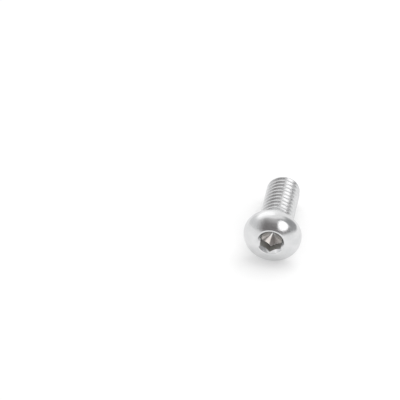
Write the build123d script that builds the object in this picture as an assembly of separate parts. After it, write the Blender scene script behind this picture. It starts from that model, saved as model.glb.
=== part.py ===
"""Button head socket cap screw, 5/16-18 UNC x 3/4 in, lying on its side.

Units are millimetres and +Z is up. The screw is built along its own axis with the bearing face
at 0, the tip at +LENGTH and the crown at -HEAD_HEIGHT. It is then laid on the ground on the rim
of its head and on the last full crest of its thread, with the head towards -Y.
"""
import math
import os

from build123d import *

# Head
HEAD_DIA = 13.4
HEAD_HEIGHT = 3.86
SIDE_HEIGHT = 1.75       # bearing face to where the dome would meet the side, were it not rounded
CROWN_DIA = 6.6          # flat top, before the socket is cut
SHOULDER_ROUND = 2.2     # where the dome meets the side
RIM_CHAMFER = 0.35       # where the side meets the bearing face

# Shank
MAJOR_DIA = 7.9
LENGTH = 18.7            # bearing face to tip
NECK_DIA = 7.4           # plain length under the head
NECK_LENGTH = 2.4
NECK_FILLET = 0.4
TIP_CHAMFER = 0.8

# Thread, 60 degree unified form, right-handed
PITCH = 25.4 / 18
FLANK_ANGLE = 30         # each flank from the square cross-section
CREST_FLAT = PITCH / 8
THREAD_DEPTH = 0.6134 * PITCH
RUNOUT_LENGTH = 1.4      # the groove grows from nothing to full depth over this length
THREAD_END_ANGLE = 207   # where the crest meets the tip chamfer, from the ground up

# Hexagon socket
SOCKET_ACROSS_FLATS = 4.8
SOCKET_DEPTH = 2.67      # crown to the corners of the floor
FLOOR_ANGLE = 118        # conical floor, full angle
COUNTERSINK_DIA = 6.2    # mouth of the socket at the crown
COUNTERSINK_ANGLE = 90
SOCKET_ROLL = 3.3        # turn of the socket about the screw's axis

CUT_OVERRUN = 1.0        # how far a cutting tool reaches into open air

# Radii and heights that follow from the sizes above
head_r = HEAD_DIA / 2
crown_r = CROWN_DIA / 2
major_r = MAJOR_DIA / 2
neck_r = NECK_DIA / 2
root_r = major_r - THREAD_DEPTH
countersink_r = COUNTERSINK_DIA / 2
socket_flat_r = SOCKET_ACROSS_FLATS / 2
socket_corner_r = socket_flat_r / math.cos(math.pi / 6)
full_crest_end = LENGTH - TIP_CHAMFER


def turned_blank():
    """The screw before threading and broaching: half its section, spun round the axis."""
    # The dome is part of a sphere centred on the axis, through the crown's edge and the side
    centre = (head_r**2 + SIDE_HEIGHT**2 - crown_r**2 - HEAD_HEIGHT**2) / 2
    centre = centre / (HEAD_HEIGHT - SIDE_HEIGHT)
    dome_r = math.hypot(crown_r, centre + HEAD_HEIGHT)
    half_way = (math.asin(crown_r / dome_r) + math.asin(head_r / dome_r)) / 2
    dome_middle = (dome_r * math.sin(half_way), centre - dome_r * math.cos(half_way))
    shoulder = (head_r, -SIDE_HEIGHT)
    rim = (head_r, 0)
    neck_corner = (neck_r, 0)

    crown = Polyline((0, LENGTH), (0, -HEAD_HEIGHT), (crown_r, -HEAD_HEIGHT))
    dome = ThreePointArc((crown_r, -HEAD_HEIGHT), dome_middle, shoulder)
    shank = Polyline(
        shoulder,
        rim,
        neck_corner,
        (neck_r, NECK_LENGTH),
        (major_r, NECK_LENGTH + major_r - neck_r),
        (major_r, full_crest_end),
        (major_r - TIP_CHAMFER, LENGTH),
        (0, LENGTH),
    )
    section = make_face([*crown.edges(), dome, *shank.edges()])
    for corner, radius in ((shoulder, SHOULDER_ROUND), (neck_corner, NECK_FILLET)):
        section = fillet(section.vertices().sort_by_distance(corner)[0], radius)
    section = chamfer(section.vertices().sort_by_distance(rim)[0], RIM_CHAMFER)
    return revolve(Plane.XZ * section, axis=Axis.Z)


def thread_groove():
    """The helical groove as a row of single turns, fading out towards the neck."""
    overrun = PITCH / 20
    tan_flank = math.tan(math.radians(FLANK_ANGLE))
    mouth = (PITCH - CREST_FLAT) / 2
    root = mouth - THREAD_DEPTH * tan_flank
    section = Polyline(
        (root_r, -root),
        (major_r + overrun, -mouth - overrun * tan_flank),
        (major_r + overrun, mouth + overrun * tan_flank),
        (root_r, root),
        close=True,
    )
    helix = Helix(pitch=PITCH, height=PITCH, radius=root_r)
    turn = sweep(Plane.XZ * make_face(section), path=helix, is_frenet=True)

    # What the groove leaves standing at its head end: the neck, then a taper down to the root
    below_root = root_r - CUT_OVERRUN
    taper_end = NECK_LENGTH + RUNOUT_LENGTH * (neck_r - below_root) / (neck_r - root_r)
    kept = revolve(
        Plane.XZ
        * make_face(
            Polyline(
                (0, -3 * PITCH),
                (major_r + CUT_OVERRUN, -3 * PITCH),
                (major_r + CUT_OVERRUN, NECK_LENGTH),
                (neck_r, NECK_LENGTH),
                (below_root, taper_end),
                (0, taper_end),
                close=True,
            )
        ),
        axis=Axis.Z,
    )

    # The crest leaves the shank at full_crest_end, so the groove is half a pitch further on
    last = full_crest_end + PITCH / 2
    count = math.ceil((last - NECK_LENGTH) / PITCH) + 1
    turns = []
    for index in range(count + 1):
        height = last - (count - index) * PITCH
        placed = Pos(0, 0, height) * Rot(0, 0, 90 + THREAD_END_ANGLE) * turn
        if height < taper_end + PITCH:
            placed = placed - kept
        turns.append(placed)
    return turns


def hexagon_socket():
    """Hexagon with a drilled, conical floor and a countersunk mouth."""
    tan_floor = math.tan(math.radians(FLOOR_ANGLE / 2))
    tan_mouth = math.tan(math.radians(COUNTERSINK_ANGLE / 2))
    mouth = -HEAD_HEIGHT - CUT_OVERRUN
    corners = -HEAD_HEIGHT + SOCKET_DEPTH
    point = corners + socket_corner_r / tan_floor

    hexagon = RegularPolygon(socket_corner_r, 6, rotation=90 + SOCKET_ROLL)
    broach = Pos(0, 0, mouth) * extrude(hexagon, point - mouth)
    drill = Polyline(
        (0, mouth),
        (socket_corner_r + CUT_OVERRUN, mouth),
        (socket_corner_r + CUT_OVERRUN, corners - CUT_OVERRUN / tan_floor),
        (0, point),
        close=True,
    )
    broach = broach & revolve(Plane.XZ * make_face(drill), axis=Axis.Z)

    inner_r = 0.8 * socket_flat_r
    countersink = Polyline(
        (0, mouth),
        (countersink_r + CUT_OVERRUN * tan_mouth, mouth),
        (inner_r, -HEAD_HEIGHT + (countersink_r - inner_r) / tan_mouth),
        (0, -HEAD_HEIGHT + (countersink_r - inner_r) / tan_mouth),
        close=True,
    )
    return broach + revolve(Plane.XZ * make_face(countersink), axis=Axis.Z)


def rest_tilt():
    """Angle in degrees by which the axis dips to the tip when rim and last crest touch the ground."""
    crest = full_crest_end - PITCH * THREAD_END_ANGLE / 360 + CREST_FLAT / 2
    return math.degrees(math.atan2(head_r - major_r, crest + RIM_CHAMFER))


screw = turned_blank() - thread_groove() - hexagon_socket()
screw = Rot(-90 - rest_tilt(), 0, 0) * screw
box = screw.bounding_box()
screw = Pos(-box.center().X, -box.center().Y, -box.min.Z) * screw

os.makedirs("parts", exist_ok=True)
export_step(screw, "parts/button_head_screw.step")
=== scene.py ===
"""Looks of the button head socket cap screw: the finished piece, its steel, the studio and the camera.

Sizes are written in millimetres, as on a drawing, and MM turns them into metres. The screw is made
in its own frame, as the solid is: the bearing face at 0, the tip at +LENGTH, the crown at
-HEAD_HEIGHT and 90 degrees round the axis facing the ground. Then it is laid where the solid lies.
"""

import math

import bpy
import numpy as np
from mathutils import Matrix, Vector

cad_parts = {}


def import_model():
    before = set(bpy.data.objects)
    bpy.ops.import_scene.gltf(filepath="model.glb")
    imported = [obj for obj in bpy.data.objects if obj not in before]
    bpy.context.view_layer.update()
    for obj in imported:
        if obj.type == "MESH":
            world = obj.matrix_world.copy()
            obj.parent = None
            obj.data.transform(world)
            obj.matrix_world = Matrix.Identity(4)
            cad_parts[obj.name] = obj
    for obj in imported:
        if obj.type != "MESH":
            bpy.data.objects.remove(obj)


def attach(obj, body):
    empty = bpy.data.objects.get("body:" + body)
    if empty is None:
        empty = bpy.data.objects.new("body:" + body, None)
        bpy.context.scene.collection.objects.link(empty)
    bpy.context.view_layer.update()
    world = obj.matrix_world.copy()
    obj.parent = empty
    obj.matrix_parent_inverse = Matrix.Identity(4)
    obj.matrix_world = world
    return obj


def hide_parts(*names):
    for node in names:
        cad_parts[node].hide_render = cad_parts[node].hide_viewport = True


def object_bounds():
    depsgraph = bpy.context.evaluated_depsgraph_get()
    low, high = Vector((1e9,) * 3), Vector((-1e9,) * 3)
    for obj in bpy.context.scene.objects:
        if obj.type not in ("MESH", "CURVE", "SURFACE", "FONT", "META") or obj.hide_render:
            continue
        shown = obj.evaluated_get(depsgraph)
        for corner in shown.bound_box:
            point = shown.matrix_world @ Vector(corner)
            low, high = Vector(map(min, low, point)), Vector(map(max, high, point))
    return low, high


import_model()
cad_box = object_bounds()

MM = 0.001

# Head
HEAD_DIA = 13.4
HEAD_HEIGHT = 3.86
SIDE_HEIGHT = 1.75
CROWN_DIA = 6.6
SHOULDER_ROUND = 2.2
RIM_CHAMFER = 0.35

# Shank
MAJOR_DIA = 7.9
LENGTH = 18.7
NECK_DIA = 7.4
NECK_LENGTH = 2.4
NECK_FILLET = 0.4
TIP_CHAMFER = 0.8

# Thread
PITCH = 25.4 / 18
FLANK_ANGLE = 30
CREST_FLAT = PITCH / 8
THREAD_DEPTH = 0.6134 * PITCH
RUNOUT_LENGTH = 1.4
THREAD_END_ANGLE = 207

# Hexagon socket
SOCKET_ACROSS_FLATS = 4.8
SOCKET_DEPTH = 2.67
FLOOR_ANGLE = 118
COUNTERSINK_DIA = 6.2
COUNTERSINK_ANGLE = 90
SOCKET_ROLL = 3.3

# Small roundings that the steel has at its edges
RIM_SOFT = 0.25
CROWN_SOFT = 0.05
MOUTH_SOFT = 0.06
FLOOR_SOFT = 0.12
CORNER_SOFT = 0.12       # upright edges of the socket
CREST_SOFT = 0.12
ROOT_SOFT = 0.2
MEETING_SOFT = 0.04      # where the thread meets the tip chamfer, the neck and the runout

# Steel: the head's dullness is 0 and that of the socket's walls is 1
THREAD_DULL = 0.35
DULL_ROUGHNESS = 0.2     # roughness that a dullness of 1 adds
POLISHED_ROUGHNESS = (0.12, 0.24)
STEEL_COLOURS = ((0.66, 0.665, 0.67, 1), (0.74, 0.74, 0.745, 1))
# Painted shade: the socket's walls and floor are coloured darker than the head, and the floor is
# tinted brownish
SOCKET_PAINTED_SHADE = (0.62, 0.63, 0.62, 1)
SOCKET_FLOOR_PAINTED_SHADE = (0.49, 0.46, 0.44, 1)
NOISE_RANGE = (0.3, 0.7)     # most of what a noise texture gives lies in here
LINE_SCALE = 9           # per mm, as the next two are
SCRATCH_SCALE = 3
PATCH_SCALE = 0.45
SCRATCH_SHARE = 0.35     # how deep the scratches are beside the turning lines
RELIEF_STRENGTH = 0.12
RELIEF_DEPTH = 0.02

# How finely the screw is divided
CORNER_STEPS = 5
FLAT_STEPS = 20
DOME_STEPS = 14
SHOULDER_STEPS = 10
ROUND_STEPS = 4
FLANK_STEPS = 4
FLOOR_SHARES = (0.05, 0.5)   # rings on the socket's floor, as shares of its radius
TIP_SHARES = (0.97, 0.6)     # rings on the tip's end face
SNAP = PITCH / 300       # a row of the thread this near to an end joins it
SHARP_ANGLE = 40         # edges that turn by more than this are shaded sharp
ON_WALL = 0.005          # how far past the hexagon's wall a point still counts as on it
FLOOR_INSET = 0.05       # the floor's own look starts this far inside the wall
FIRST_ROW_BACK = 0.15    # how far before the neck's end the thread's rows start

# Studio, in metres
FLOOR_SIZE = 6
FLOOR_COLOUR = (0.8, 0.8, 0.8, 1)
FLOOR_LIFT = 0.24        # what the floor adds to itself to read as white
ROOM_LIGHT = 0.68        # brightness of the room for everything but the camera and reflections

# Camera, from the vanishing lines of the row of screws; the picture is 400 pixels square
PICTURE = 400
SENSOR = 36
FOCAL_PIXELS = 1860
CAMERA_AZIMUTH = 170.0
CAMERA_ELEVATION = 42.8
CAMERA_DISTANCE = 443
LOOK_AT = (-19.6, 7.8, 0)
CLIP_RANGE = (0.01, 10)  # metres

head_r = HEAD_DIA / 2
crown_r = CROWN_DIA / 2
major_r = MAJOR_DIA / 2
neck_r = NECK_DIA / 2
root_r = major_r - THREAD_DEPTH
countersink_r = COUNTERSINK_DIA / 2
socket_flat_r = SOCKET_ACROSS_FLATS / 2
socket_corner_r = socket_flat_r / math.cos(math.pi / 6)
full_crest_end = LENGTH - TIP_CHAMFER
first_row = NECK_LENGTH - FIRST_ROW_BACK


def socket_outline():
    """The hexagon with softened corners, as an angle and a radius for each column of the mesh."""
    corner_centre = (socket_flat_r - CORNER_SOFT) / math.cos(math.pi / 6)
    points = []
    for corner in range(6):
        middle = math.radians(90 + SOCKET_ROLL + 60 * corner)
        centre = corner_centre * np.array([math.cos(middle), math.sin(middle)])
        turns = middle + np.linspace(-math.pi / 6, math.pi / 6, CORNER_STEPS)
        points.extend(centre + CORNER_SOFT * np.stack([np.cos(turns), np.sin(turns)], axis=1))
    start = np.array(points[CORNER_STEPS - 1 :: CORNER_STEPS])
    end = np.roll(np.array(points[::CORNER_STEPS]), -1, axis=0)
    for share in np.linspace(0, 1, FLAT_STEPS + 1)[1:-1]:
        points.extend(start + share * (end - start))
    points = np.array(points)
    angle = np.arctan2(points[:, 1], points[:, 0]) % math.tau
    order = np.argsort(angle)
    return angle[order], np.hypot(points[:, 0], points[:, 1])[order]


def softened(path):
    """A path of (radius, height, rounding) corners as rings, with a few rings round each corner."""
    rings = []
    for index, (radius, height, rounding) in enumerate(path):
        here = np.array(np.broadcast_arrays(radius, height, column_angle)[:2], float)
        if not rounding:
            rings.append(here)
            continue
        sides = []
        for other in (path[index - 1], path[index + 1]):
            there = np.array(np.broadcast_arrays(other[0], other[1], column_angle)[:2], float)
            sides.append((there - here) / np.hypot(*(there - here)))
        turn = math.pi - np.arccos(np.clip((sides[0] * sides[1]).sum(axis=0), -1, 1))
        back = rounding * np.tan(turn / 2)
        for share in np.linspace(0, 1, ROUND_STEPS + 1):
            bend = (1 - share) ** 2 * back * sides[0] + share**2 * back * sides[1]
            rings.append(here + bend)
    return rings


def arc(centre_radius, centre_height, radius, start, end, steps):
    """Corners along an arc, at angles measured from the crown's side of the axis."""
    turns = np.linspace(start, end, steps + 1)
    return [
        (centre_radius + radius * math.sin(turn), centre_height - radius * math.cos(turn), 0)
        for turn in turns
    ]


def head_rings(socket_r):
    """Rings from the middle of the socket's floor over the head to the neck."""
    tan_floor = math.tan(math.radians(FLOOR_ANGLE / 2))
    tan_mouth = math.tan(math.radians(COUNTERSINK_ANGLE / 2))
    point = -HEAD_HEIGHT + SOCKET_DEPTH + socket_corner_r / tan_floor

    # The dome is part of a sphere centred on the axis, and the shoulder is tangent to it
    centre = (head_r**2 + SIDE_HEIGHT**2 - crown_r**2 - HEAD_HEIGHT**2) / 2
    centre = centre / (HEAD_HEIGHT - SIDE_HEIGHT)
    dome_r = math.hypot(crown_r, centre + HEAD_HEIGHT)
    shoulder_r = head_r - SHOULDER_ROUND
    shoulder_height = centre - math.sqrt((dome_r - SHOULDER_ROUND) ** 2 - shoulder_r**2)
    meeting = math.atan2(shoulder_r, centre - shoulder_height)

    path = [(0, point, 0)]
    path += [(share * socket_r, point - share * socket_r / tan_floor, 0) for share in FLOOR_SHARES]
    path += [
        (socket_r, point - socket_r / tan_floor, FLOOR_SOFT),
        (socket_r, -HEAD_HEIGHT + (countersink_r - socket_r) / tan_mouth, MOUTH_SOFT),
        (countersink_r, -HEAD_HEIGHT, CROWN_SOFT),
    ]
    crown_edge = math.asin(crown_r / dome_r)
    path += arc(0, centre, dome_r, crown_edge, meeting, DOME_STEPS)
    path += arc(shoulder_r, shoulder_height, SHOULDER_ROUND, meeting, math.pi / 2, SHOULDER_STEPS)[1:]
    path += [
        (head_r, -RIM_CHAMFER, RIM_SOFT),
        (head_r - RIM_CHAMFER, 0, RIM_SOFT),
        ((head_r + neck_r) / 2, 0, 0),
        (neck_r, 0, NECK_FILLET),
        (neck_r, (NECK_FILLET + first_row) / 2, 0),
        (neck_r, first_row, 0),
    ]
    return softened(path)


def softer_min(a, b):
    """The smaller of two heights, with the corner between them rounded off."""
    share = np.clip(0.5 + (b - a) / (2 * MEETING_SOFT), 0, 1)
    return b + share * (a - b) - MEETING_SOFT * share * (1 - share)


def thread_section():
    """Offsets from a crest's middle along one pitch, and the radius at each of them."""
    tan_flank = math.tan(math.radians(FLANK_ANGLE))
    crest_edge = CREST_FLAT / 2
    root_edge = crest_edge + THREAD_DEPTH * tan_flank
    flank = math.radians(90 - FLANK_ANGLE)

    # Rounding off a corner takes away as much on each side of it as this
    crest_back = CREST_SOFT * math.tan(flank / 2)
    root_back = min(ROOT_SOFT * math.tan(flank / 2), PITCH / 2 - root_edge)
    along_flank = np.array([tan_flank, -1.0]) * math.cos(math.radians(FLANK_ANGLE))
    crest = np.array([crest_edge, major_r])
    root = np.array([root_edge, root_r])

    half = []
    for share in np.linspace(0, 1, ROUND_STEPS + 1):
        level = np.array([-1.0, 0.0])
        half.append(crest + crest_back * ((1 - share) ** 2 * level + share**2 * along_flank))
    flank_start, flank_end = half[-1], root - root_back * along_flank
    for share in np.linspace(0, 1, FLANK_STEPS + 1)[1:-1]:
        half.append(flank_start + share * (flank_end - flank_start))
    for share in np.linspace(0, 1, ROUND_STEPS + 1):
        level = np.array([1.0, 0.0])
        half.append(root + root_back * (share**2 * level - (1 - share) ** 2 * along_flank))
    half = np.array(half)
    middle = np.array([[0, major_r]])
    bottom = np.array([[PITCH / 2, root_r]])
    mirrored = half[::-1] * [-1, 1]
    return np.concatenate([bottom * [-1, 1], mirrored, middle, half])


def shank_radius(height, thread_r):
    """Radius of the shank: the thread, cut off by the tip chamfer, the neck and the runout."""
    into_neck = NECK_LENGTH - height
    runout = neck_r + into_neck * (neck_r - root_r) / RUNOUT_LENGTH
    blank = softer_min(major_r, neck_r - into_neck)
    blank = np.where(into_neck > 0, neck_r, np.maximum(blank, neck_r))
    chamfer = major_r - (height - full_crest_end)
    thread = -softer_min(-thread_r, -runout)
    return softer_min(np.minimum(thread, blank), chamfer)


def screw_mesh():
    """The whole screw as one closed mesh, whose columns run from the socket to the tip."""
    columns = len(column_angle)
    around = np.stack([np.cos(column_angle), np.sin(column_angle)])
    points = []
    faces = []

    def add(radius, height):
        start = len(points)
        radius, height = np.broadcast_arrays(radius, height, column_angle)[:2]
        points.extend(np.stack([radius * around[0], radius * around[1], height], axis=1).tolist())
        return np.arange(start, start + columns)

    def join(lower, upper):
        for i in range(columns):
            k = (i + 1) % columns
            faces.append((lower[i], lower[k], upper[k], upper[i]))

    # Head and neck
    rings = head_rings(socket_r)
    points.append([0, 0, float(rings[0][1][0])])
    last = add(*rings[1])
    for i in range(columns):
        faces.append((0, last[(i + 1) % columns], last[i]))
    for ring in rings[2:]:
        following = add(*ring)
        join(last, following)
        last = following

    # Thread: the rows follow the helix, and those beyond an end fold into its ring
    section = thread_section()
    rows_per_turn = len(section)
    crest_at_zero = full_crest_end - PITCH * (90 + THREAD_END_ANGLE) / 360
    first_turn = math.floor((first_row - crest_at_zero) / PITCH) - 2
    last_turn = math.ceil((LENGTH - crest_at_zero) / PITCH) + 1
    start_ring = last
    end_radius = []
    turns = np.arange(first_turn, last_turn + 1)
    rise = crest_at_zero + PITCH * column_angle / math.tau
    offset = (turns[:, None] * PITCH + section[None, :, 0]).ravel()
    height = rise[None, :] + offset[:, None]
    thread_r = np.tile(section[:, 1], len(turns))
    for i in range(columns):
        end_radius.append(np.interp(LENGTH, height[:, i], thread_r))
    end_ring = add(shank_radius(LENGTH, np.array(end_radius)), LENGTH)

    rows = []
    for row_height, radius in zip(height, thread_r):
        inside = (row_height > first_row + SNAP) & (row_height < LENGTH - SNAP)
        row = np.where(row_height <= first_row + SNAP, start_ring, end_ring)
        row_radius = shank_radius(row_height, radius)
        for i in np.flatnonzero(inside):
            row[i] = len(points)
            points.append([*(row_radius[i] * around[:, i]), row_height[i]])
        rows.append(row)
    for j in range(len(rows) - 1):
        for i in range(columns):
            k, step = (i + 1, 0) if i + 1 < columns else (0, rows_per_turn)
            if j + 1 + step >= len(rows):
                continue
            corners = (rows[j][i], rows[j + step][k], rows[j + 1 + step][k], rows[j + 1][i])
            face = tuple(dict.fromkeys(corners))
            if len(face) > 2:
                faces.append(face)

    # End face of the tip
    last = end_ring
    end_radius = np.hypot(*np.array(points)[end_ring, :2].T)
    for share in TIP_SHARES:
        following = add(share * end_radius, LENGTH)
        join(last, following)
        last = following
    points.append([0, 0, LENGTH])
    for i in range(columns):
        faces.append((last[i], last[(i + 1) % columns], len(points) - 1))

    mesh = bpy.data.meshes.new("screw")
    mesh.from_pydata((np.array(points) * MM).tolist(), [], faces)
    mesh.shade_smooth()
    mesh.set_sharp_from_angle(angle=math.radians(SHARP_ANGLE))
    turned = mesh.attributes.new("turned", "FLOAT_VECTOR", "POINT")
    turned.data.foreach_set("vector", np.array(points).ravel())
    dullness_and_painted_shade = mesh.attributes.new("dullness_and_painted_shade", "FLOAT_VECTOR", "POINT")
    dullness_and_painted_shade.data.foreach_set("vector", dullness_and_painted_shade_at(np.array(points)).ravel())
    mesh.transform(lay_down())
    return mesh


def dullness_and_painted_shade_at(points):
    """For each point, from 0 to 1: how dull it is, whether in the socket, whether on its floor; the
    last two say where shade is painted.
    """
    radius, height = np.hypot(points[:, 0], points[:, 1]), points[:, 2]
    # The countersink is polished with the head, so the socket ends at the hexagon's own walls
    wall_r = np.interp(np.arctan2(points[:, 1], points[:, 0]), column_angle, socket_r, period=math.tau)
    socket = (radius < wall_r + ON_WALL) & (height < 0)
    floor_part = socket & (radius < wall_r - FLOOR_INSET)
    dull = np.where(height > NECK_LENGTH - RUNOUT_LENGTH, THREAD_DULL, 1.0 * (socket & ~floor_part))
    return np.stack([dull, 1.0 * socket, 1.0 * floor_part], axis=1)


def lay_down():
    """Where the screw lies: on the rim of its head and the last full crest, as the solid does."""
    crest = full_crest_end - PITCH * THREAD_END_ANGLE / 360 + CREST_FLAT / 2
    tilt = math.atan2(head_r - major_r, crest + RIM_CHAMFER)
    low_y = (HEAD_HEIGHT * math.cos(tilt) + crown_r * math.sin(tilt)) * MM
    low_z = (head_r * math.cos(tilt) - RIM_CHAMFER * math.sin(tilt)) * MM
    place = Matrix.Translation((0, cad_box[0].y + low_y, low_z))
    return place @ Matrix.Rotation(-math.pi / 2 - tilt, 4, "X")


def steel():
    """Polished stainless steel with faint turning lines and fine scratches, and painted shade
    darkening the socket.
    """
    material = bpy.data.materials.new("polished stainless steel")
    material.use_nodes = True
    nodes, links = material.node_tree.nodes, material.node_tree.links
    shader = nodes["Principled BSDF"]
    shader.inputs["Metallic"].default_value = 1.0

    in_mm = nodes.new("ShaderNodeAttribute")
    in_mm.attribute_name = "turned"

    # Turning lines run round the axis, so they change with the radius and the height only
    apart = nodes.new("ShaderNodeSeparateXYZ")
    links.new(in_mm.outputs["Vector"], apart.inputs[0])
    flat = nodes.new("ShaderNodeCombineXYZ")
    links.new(apart.outputs["X"], flat.inputs["X"])
    links.new(apart.outputs["Y"], flat.inputs["Y"])
    radius = nodes.new("ShaderNodeVectorMath")
    radius.operation = "LENGTH"
    links.new(flat.outputs[0], radius.inputs[0])
    across = nodes.new("ShaderNodeCombineXYZ")
    links.new(radius.outputs["Value"], across.inputs["X"])
    links.new(apart.outputs["Z"], across.inputs["Y"])
    lines = nodes.new("ShaderNodeTexNoise")
    lines.inputs["Scale"].default_value = LINE_SCALE
    lines.inputs["Detail"].default_value = 3
    links.new(across.outputs[0], lines.inputs["Vector"])

    # Fine scratches and dull patches
    scratches = nodes.new("ShaderNodeTexNoise")
    scratches.inputs["Scale"].default_value = SCRATCH_SCALE
    scratches.inputs["Detail"].default_value = 6
    scratches.inputs["Roughness"].default_value = 0.65
    links.new(in_mm.outputs["Vector"], scratches.inputs["Vector"])
    patches = nodes.new("ShaderNodeTexNoise")
    patches.inputs["Scale"].default_value = PATCH_SCALE
    patches.inputs["Detail"].default_value = 4
    links.new(in_mm.outputs["Vector"], patches.inputs["Vector"])

    colour = nodes.new("ShaderNodeValToRGB")
    for element, position, tone in zip(colour.color_ramp.elements, NOISE_RANGE, STEEL_COLOURS):
        element.position = position
        element.color = tone
    links.new(patches.outputs["Fac"], colour.inputs["Fac"])
    dullness_and_painted_shade = nodes.new("ShaderNodeAttribute")
    dullness_and_painted_shade.attribute_name = "dullness_and_painted_shade"
    parts = nodes.new("ShaderNodeSeparateXYZ")
    links.new(dullness_and_painted_shade.outputs["Vector"], parts.inputs[0])
    made = colour.outputs["Color"]
    # Painted shade: the socket's walls and floor get darker colours than the head, the floor a
    # brownish one
    for channel, tone in (("Y", SOCKET_PAINTED_SHADE), ("Z", SOCKET_FLOOR_PAINTED_SHADE)):
        darker = nodes.new("ShaderNodeMix")
        darker.data_type = "RGBA"
        darker.inputs[7].default_value = tone
        links.new(parts.outputs[channel], darker.inputs[0])
        links.new(made, darker.inputs[6])
        made = darker.outputs[2]
    links.new(made, shader.inputs["Base Color"])

    gloss = nodes.new("ShaderNodeMapRange")
    gloss.inputs["From Min"].default_value = NOISE_RANGE[0]
    gloss.inputs["From Max"].default_value = NOISE_RANGE[1]
    gloss.inputs["To Min"].default_value = POLISHED_ROUGHNESS[0]
    gloss.inputs["To Max"].default_value = POLISHED_ROUGHNESS[1]
    links.new(scratches.outputs["Fac"], gloss.inputs["Value"])
    rougher = nodes.new("ShaderNodeMath")
    rougher.operation = "MULTIPLY_ADD"
    rougher.inputs[1].default_value = DULL_ROUGHNESS
    links.new(parts.outputs["X"], rougher.inputs[0])
    links.new(gloss.outputs["Result"], rougher.inputs[2])
    links.new(rougher.outputs[0], shader.inputs["Roughness"])

    relief = nodes.new("ShaderNodeMath")
    relief.operation = "MULTIPLY_ADD"
    relief.inputs[1].default_value = SCRATCH_SHARE
    links.new(scratches.outputs["Fac"], relief.inputs[0])
    links.new(lines.outputs["Fac"], relief.inputs[2])
    bump = nodes.new("ShaderNodeBump")
    bump.inputs["Strength"].default_value = RELIEF_STRENGTH
    bump.inputs["Distance"].default_value = RELIEF_DEPTH * MM
    links.new(relief.outputs[0], bump.inputs["Height"])
    links.new(bump.outputs["Normal"], shader.inputs["Normal"])
    return material


def seen_directly(nodes, links):
    """1 for rays from the camera and for those that metal or glass turns, else 0."""
    path = nodes.new("ShaderNodeLightPath")
    total = path.outputs["Is Camera Ray"]
    for name in ("Is Glossy Ray", "Is Transmission Ray"):
        larger = nodes.new("ShaderNodeMath")
        larger.operation = "MAXIMUM"
        links.new(total, larger.inputs[0])
        links.new(path.outputs[name], larger.inputs[1])
        total = larger.outputs[0]
    return total


def floor():
    """A pale floor that reads as white where no shadow falls."""
    half = FLOOR_SIZE / 2
    mesh = bpy.data.meshes.new("floor")
    corners = [(-half, -half, 0), (half, -half, 0), (half, half, 0), (-half, half, 0)]
    mesh.from_pydata(corners, [], [(0, 1, 2, 3)])
    material = bpy.data.materials.new("white paper")
    material.use_nodes = True
    nodes, links = material.node_tree.nodes, material.node_tree.links
    shader = nodes["Principled BSDF"]
    shader.inputs["Base Color"].default_value = FLOOR_COLOUR
    shader.inputs["Roughness"].default_value = 0.9
    shader.inputs["Specular IOR Level"].default_value = 0.0
    shader.inputs["Emission Color"].default_value = (1, 1, 1, 1)
    lift = nodes.new("ShaderNodeMath")
    lift.operation = "MULTIPLY"
    lift.inputs[1].default_value = FLOOR_LIFT
    links.new(seen_directly(nodes, links), lift.inputs[0])
    links.new(lift.outputs[0], shader.inputs["Emission Strength"])
    mesh.materials.append(material)
    piece = bpy.data.objects.new("floor", mesh)
    bpy.context.scene.collection.objects.link(piece)
    return piece


def world():
    """White to the camera and in reflections, and soft light from all round."""
    made = bpy.data.worlds.new("studio")
    bpy.context.scene.world = made
    made.use_nodes = True
    nodes, links = made.node_tree.nodes, made.node_tree.links
    background = nodes["Background"]
    background.inputs["Color"].default_value = (1, 1, 1, 1)
    strength = nodes.new("ShaderNodeMapRange")
    strength.inputs["To Min"].default_value = ROOM_LIGHT
    strength.inputs["To Max"].default_value = 1.0
    links.new(seen_directly(nodes, links), strength.inputs["Value"])
    links.new(strength.outputs["Result"], background.inputs["Strength"])


def direction(azimuth, elevation):
    """Unit vector: azimuth 0 is +Y and 90 is +X, and elevation is above the floor, in degrees."""
    a, e = math.radians(azimuth), math.radians(elevation)
    return Vector((math.sin(a) * math.cos(e), math.cos(a) * math.cos(e), math.sin(e)))


def softbox(name, azimuth, elevation, distance, width, height, brightness, shape="ELLIPSE"):
    """A soft lamp that faces the screw. Where brightness is 1, it looks as bright as white paper."""
    lamp = bpy.data.lights.new(name, "AREA")
    lamp.shape = shape
    lamp.size, lamp.size_y = width, height
    area = width * height * (math.pi / 4 if shape == "ELLIPSE" else 1)
    lamp.energy = brightness * math.pi * area
    piece = bpy.data.objects.new(name, lamp)
    bpy.context.scene.collection.objects.link(piece)
    away = direction(azimuth, elevation)
    piece.location = distance * away
    piece.rotation_mode = "QUATERNION"
    piece.rotation_quaternion = away.to_track_quat("Z", "Y")
    piece.visible_camera = False
    return piece


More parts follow.
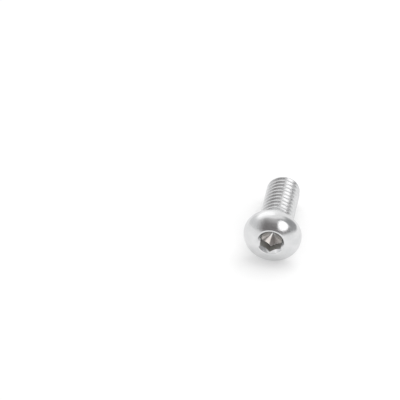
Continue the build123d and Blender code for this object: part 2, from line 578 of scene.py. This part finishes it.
def reflection_card(name, azimuths, elevations, distance, colour, fade_across, fade_up):
    """A curved card round part of the room, grey or bright, that shows only in reflections.

    Each fade is the share of the card over which it fades out, at its low end and at its high end.
    """
    across, up = 24, 8
    points = []
    for elevation in np.linspace(*elevations, up + 1):
        for azimuth in np.linspace(*azimuths, across + 1):
            points.append(distance * direction(azimuth, elevation))
    faces = []
    for j in range(up):
        for i in range(across):
            corner = j * (across + 1) + i
            faces.append((corner, corner + 1, corner + across + 2, corner + across + 1))
    mesh = bpy.data.meshes.new(name)
    mesh.from_pydata(points, [], faces)
    layer = mesh.uv_layers.new(name="card")
    for loop in mesh.loops:
        row, column = divmod(loop.vertex_index, across + 1)
        layer.data[loop.index].uv = (column / across, row / up)

    material = bpy.data.materials.new(name)
    material.use_nodes = True
    nodes, links = material.node_tree.nodes, material.node_tree.links
    nodes.remove(nodes["Principled BSDF"])
    uv = nodes.new("ShaderNodeUVMap")
    uv.uv_map = "card"
    apart = nodes.new("ShaderNodeSeparateXYZ")
    links.new(uv.outputs[0], apart.inputs[0])
    fade = None
    for axis, (low_edge, high_edge) in (("X", fade_across), ("Y", fade_up)):
        ramp = nodes.new("ShaderNodeValToRGB")
        ramp.color_ramp.interpolation = "EASE"
        ramp.color_ramp.elements[0].color = (0, 0, 0, 1)
        ramp.color_ramp.elements[1].position = low_edge
        ramp.color_ramp.elements[1].color = (1, 1, 1, 1)
        ramp.color_ramp.elements.new(1 - high_edge).color = (1, 1, 1, 1)
        ramp.color_ramp.elements.new(1).color = (0, 0, 0, 1)
        links.new(apart.outputs[axis], ramp.inputs[0])
        if fade is None:
            fade = ramp.outputs[0]
        else:
            both = nodes.new("ShaderNodeMath")
            both.operation = "MULTIPLY"
            links.new(fade, both.inputs[0])
            links.new(ramp.outputs[0], both.inputs[1])
            fade = both.outputs[0]
    clear = nodes.new("ShaderNodeBsdfTransparent")
    shine = nodes.new("ShaderNodeEmission")
    shine.inputs["Color"].default_value = (*colour, 1)
    mix = nodes.new("ShaderNodeMixShader")
    links.new(fade, mix.inputs[0])
    links.new(clear.outputs[0], mix.inputs[1])
    links.new(shine.outputs[0], mix.inputs[2])
    links.new(mix.outputs[0], nodes["Material Output"].inputs["Surface"])
    mesh.materials.append(material)

    piece = bpy.data.objects.new(name, mesh)
    bpy.context.scene.collection.objects.link(piece)
    piece.visible_camera = False
    piece.visible_diffuse = False
    piece.visible_shadow = False
    return piece


def camera():
    """The camera looks down at the floor a little behind the screw and to its left."""
    data = bpy.data.cameras.new("camera")
    data.sensor_width = SENSOR
    data.lens = SENSOR * FOCAL_PIXELS / PICTURE
    piece = bpy.data.objects.new("camera", data)
    bpy.context.scene.collection.objects.link(piece)
    away = direction(CAMERA_AZIMUTH, CAMERA_ELEVATION)
    piece.location = Vector(LOOK_AT) * MM + away * CAMERA_DISTANCE * MM
    piece.rotation_mode = "QUATERNION"
    piece.rotation_quaternion = away.to_track_quat("Z", "Y")
    data.clip_start, data.clip_end = CLIP_RANGE
    bpy.context.scene.camera = piece


column_angle, socket_r = socket_outline()
screw = bpy.data.objects.new("screw", screw_mesh())
bpy.context.scene.collection.objects.link(screw)
screw.data.materials.append(steel())
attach(screw, "root")
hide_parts("button_head_screw")

bpy.context.scene.view_settings.view_transform = "Standard"
world()
camera_side = reflection_card(
    "camera side",
    azimuths=(130, 237),
    elevations=(2, 62),
    distance=0.5,
    colour=(0.22, 0.21, 0.21),
    fade_across=(0.15, 0.3),
    fade_up=(0.1, 0.55),
)
right_side = reflection_card(
    "right side",
    azimuths=(44, 178),
    elevations=(2, 70),
    distance=0.52,
    colour=(0.38, 0.385, 0.39),
    fade_across=(0.2, 0.2),
    fade_up=(0.08, 0.4),
)
left_side = reflection_card(
    "left side",
    azimuths=(206, 312),
    elevations=(0, 40),
    distance=0.53,
    colour=(0.78, 0.785, 0.79),
    fade_across=(0.3, 0.3),
    fade_up=(0.2, 0.5),
)
glow = reflection_card(
    "glow",
    azimuths=(-142, 35),
    elevations=(14, 90),
    distance=0.55,
    colour=(1.38, 1.38, 1.38),
    fade_across=(0.32, 0.35),
    fade_up=(0.4, 0.05),
)
floor()
overhead = softbox(
    "overhead softbox",
    azimuth=40,
    elevation=70,
    distance=0.7,
    width=0.6,
    height=0.6,
    brightness=1.75,
    shape="RECTANGLE",
)
overhead.visible_glossy = False
softbox(
    "round softbox",
    azimuth=151,
    elevation=29,
    distance=0.45,
    width=0.225,
    height=0.25,
    brightness=1.45,
)
camera()
